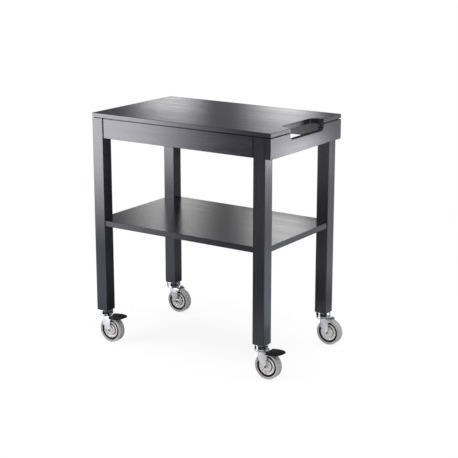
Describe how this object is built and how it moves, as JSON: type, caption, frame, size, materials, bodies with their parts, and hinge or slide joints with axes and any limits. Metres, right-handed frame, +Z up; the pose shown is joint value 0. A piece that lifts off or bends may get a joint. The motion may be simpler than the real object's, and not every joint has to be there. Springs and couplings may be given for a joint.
{
  "type": "two-tier cart",
  "caption": "Two-tier wooden cart with a hand slot at one end, a notched lower shelf, square legs and swivel castors, the front ones with foot brakes.",
  "frame": {"origin": "on the floor, under the middle of the bounding box as stored, with the castors trailing toward the handle end", "axes": "+Z is up; +X is along the top toward the end with the hand slot; -Y is the front, where the braked castors are"},
  "size_m": [0.854, 0.5059, 0.911],
  "materials": {
    "black_wood": "black stain under satin lacquer, with a fine grain",
    "beech": "plain planed wood",
    "zinc_steel": "bright zinc plate",
    "dark_steel": "black oxide",
    "chrome": "polished plate",
    "black_plastic": "moulded, satin",
    "light_plastic": "moulded, satin",
    "grey_rubber": "matt grey rubber"
  },
  "bodies": {
    "table": {"top_board": "black_wood", "handle_end_board": "black_wood", "front_apron": "black_wood", "back_apron": "black_wood", "left_apron": "black_wood", "leg_front_left": "black_wood", "leg_front_right": "black_wood", "leg_back_left": "black_wood", "leg_back_right": "black_wood", "lower_shelf": "black_wood", "frame_tenons": "beech", "top_brackets": "zinc_steel", "shelf_brackets": "zinc_steel", "leg_inserts": "zinc_steel", "castor_heads": "chrome", "swivel_caps": "chrome"},
    "fork_front_left": {"fork_front_left": "zinc_steel", "axle_bolt_front_left": "dark_steel", "brake_pin_front_left": "dark_steel"},
    "wheel_front_left": {"hub_bush_front_left": "zinc_steel", "rim_front_left": "black_plastic", "front_cover_front_left": "light_plastic", "back_cover_front_left": "light_plastic", "tyre_front_left": "grey_rubber"},
    "pedal_front_left": {"brake_pedal_front_left": "black_plastic", "brake_shoe_front_left": "zinc_steel"},
    "fork_front_right": {"fork_front_right": "zinc_steel", "axle_bolt_front_right": "dark_steel", "brake_pin_front_right": "dark_steel"},
    "wheel_front_right": {"hub_bush_front_right": "zinc_steel", "rim_front_right": "black_plastic", "front_cover_front_right": "light_plastic", "back_cover_front_right": "light_plastic", "tyre_front_right": "grey_rubber"},
    "pedal_front_right": {"brake_pedal_front_right": "black_plastic", "brake_shoe_front_right": "zinc_steel"},
    "fork_back_left": {"fork_back_left": "zinc_steel", "axle_bolt_back_left": "dark_steel"},
    "wheel_back_left": {"hub_bush_back_left": "zinc_steel", "rim_back_left": "black_plastic", "front_cover_back_left": "light_plastic", "back_cover_back_left": "light_plastic", "tyre_back_left": "grey_rubber"},
    "fork_back_right": {"fork_back_right": "zinc_steel", "axle_bolt_back_right": "dark_steel"},
    "wheel_back_right": {"hub_bush_back_right": "zinc_steel", "rim_back_right": "black_plastic", "front_cover_back_right": "light_plastic", "back_cover_back_right": "light_plastic", "tyre_back_right": "grey_rubber"}
  },
  "joints": [
    {"name": "swivel_front_left", "type": "hinge", "parent": "table", "child": "fork_front_left", "pos_m": [-0.399, -0.225, 0.105], "axis": [0, 0, 1], "continuous": true},
    {"name": "roll_front_left", "type": "hinge", "parent": "fork_front_left", "child": "wheel_front_left", "pos_m": [-0.369, -0.225, 0.05], "axis": [0, 1, 0], "continuous": true},
    {"name": "brake_front_left", "type": "hinge", "parent": "fork_front_left", "child": "pedal_front_left", "pos_m": [-0.364, -0.225, 0.10226], "axis": [0, 1, 0], "range_deg": [0, 12]},
    {"name": "swivel_front_right", "type": "hinge", "parent": "table", "child": "fork_front_right", "pos_m": [0.329, -0.225, 0.105], "axis": [0, 0, 1], "continuous": true},
    {"name": "roll_front_right", "type": "hinge", "parent": "fork_front_right", "child": "wheel_front_right", "pos_m": [0.359, -0.225, 0.05], "axis": [0, 1, 0], "continuous": true},
    {"name": "brake_front_right", "type": "hinge", "parent": "fork_front_right", "child": "pedal_front_right", "pos_m": [0.364, -0.225, 0.10226], "axis": [0, 1, 0], "range_deg": [0, 12]},
    {"name": "swivel_back_left", "type": "hinge", "parent": "table", "child": "fork_back_left", "pos_m": [-0.399, 0.225, 0.105], "axis": [0, 0, 1], "continuous": true},
    {"name": "roll_back_left", "type": "hinge", "parent": "fork_back_left", "child": "wheel_back_left", "pos_m": [-0.369, 0.225, 0.05], "axis": [0, 1, 0], "continuous": true},
    {"name": "swivel_back_right", "type": "hinge", "parent": "table", "child": "fork_back_right", "pos_m": [0.329, 0.225, 0.105], "axis": [0, 0, 1], "continuous": true},
    {"name": "roll_back_right", "type": "hinge", "parent": "fork_back_right", "child": "wheel_back_right", "pos_m": [0.359, 0.225, 0.05], "axis": [0, 1, 0], "continuous": true}
  ]
}
